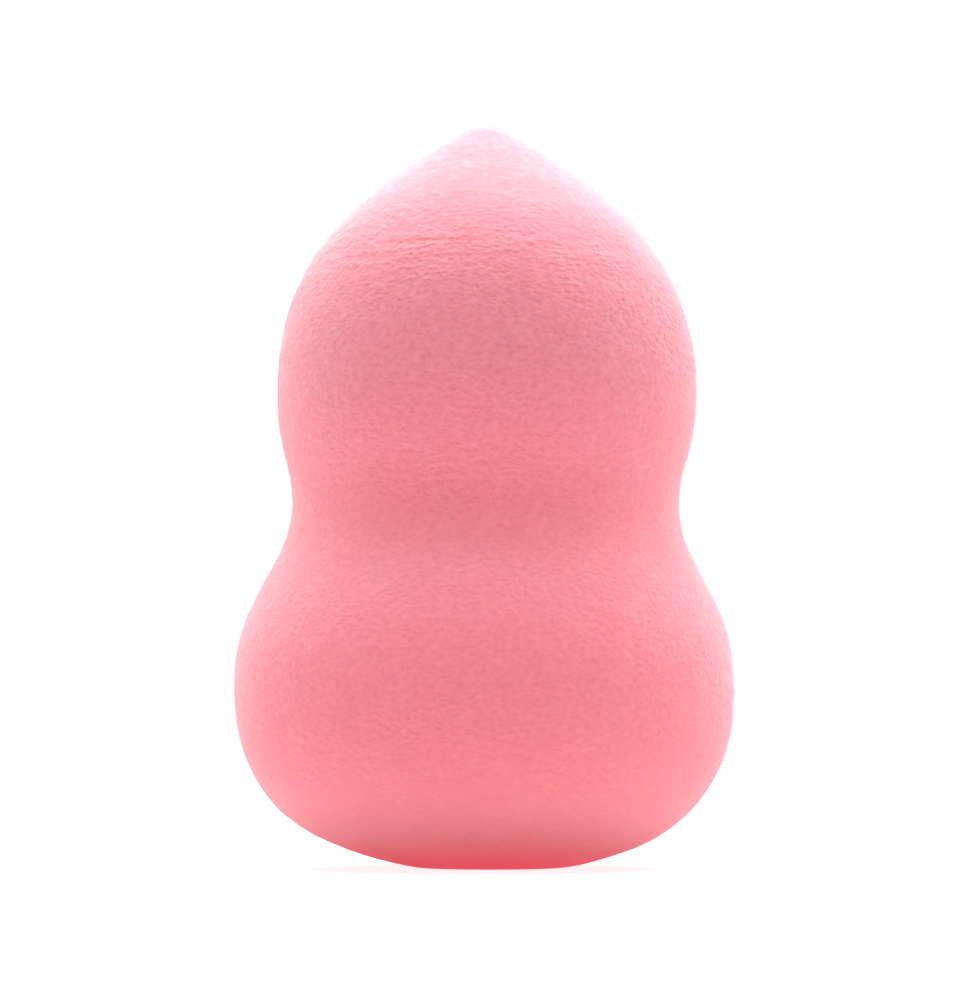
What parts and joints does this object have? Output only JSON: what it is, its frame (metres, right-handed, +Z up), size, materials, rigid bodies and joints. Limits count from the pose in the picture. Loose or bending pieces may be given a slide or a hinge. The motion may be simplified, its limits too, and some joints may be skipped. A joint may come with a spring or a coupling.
{
  "type": "makeup sponge",
  "caption": "Gourd-shaped makeup sponge in one piece of soft pink foam: pointed upper lobe, finger waist and wide round base, for blending liquid and powder cosmetics.",
  "frame": {"origin": "middle of the flat foot, on the surface that the sponge stands on", "axes": "+Z up along the sponge's axis to its tip; the form is round, so X and Y only complete the frame"},
  "size_m": [0.0402, 0.0402, 0.06],
  "materials": {
    "foam": "matte open-cell polyurethane foam with a ground, finely pored surface, pink"
  },
  "bodies": {
    "root": {"foam_body": "foam"}
  },
  "joints": []
}
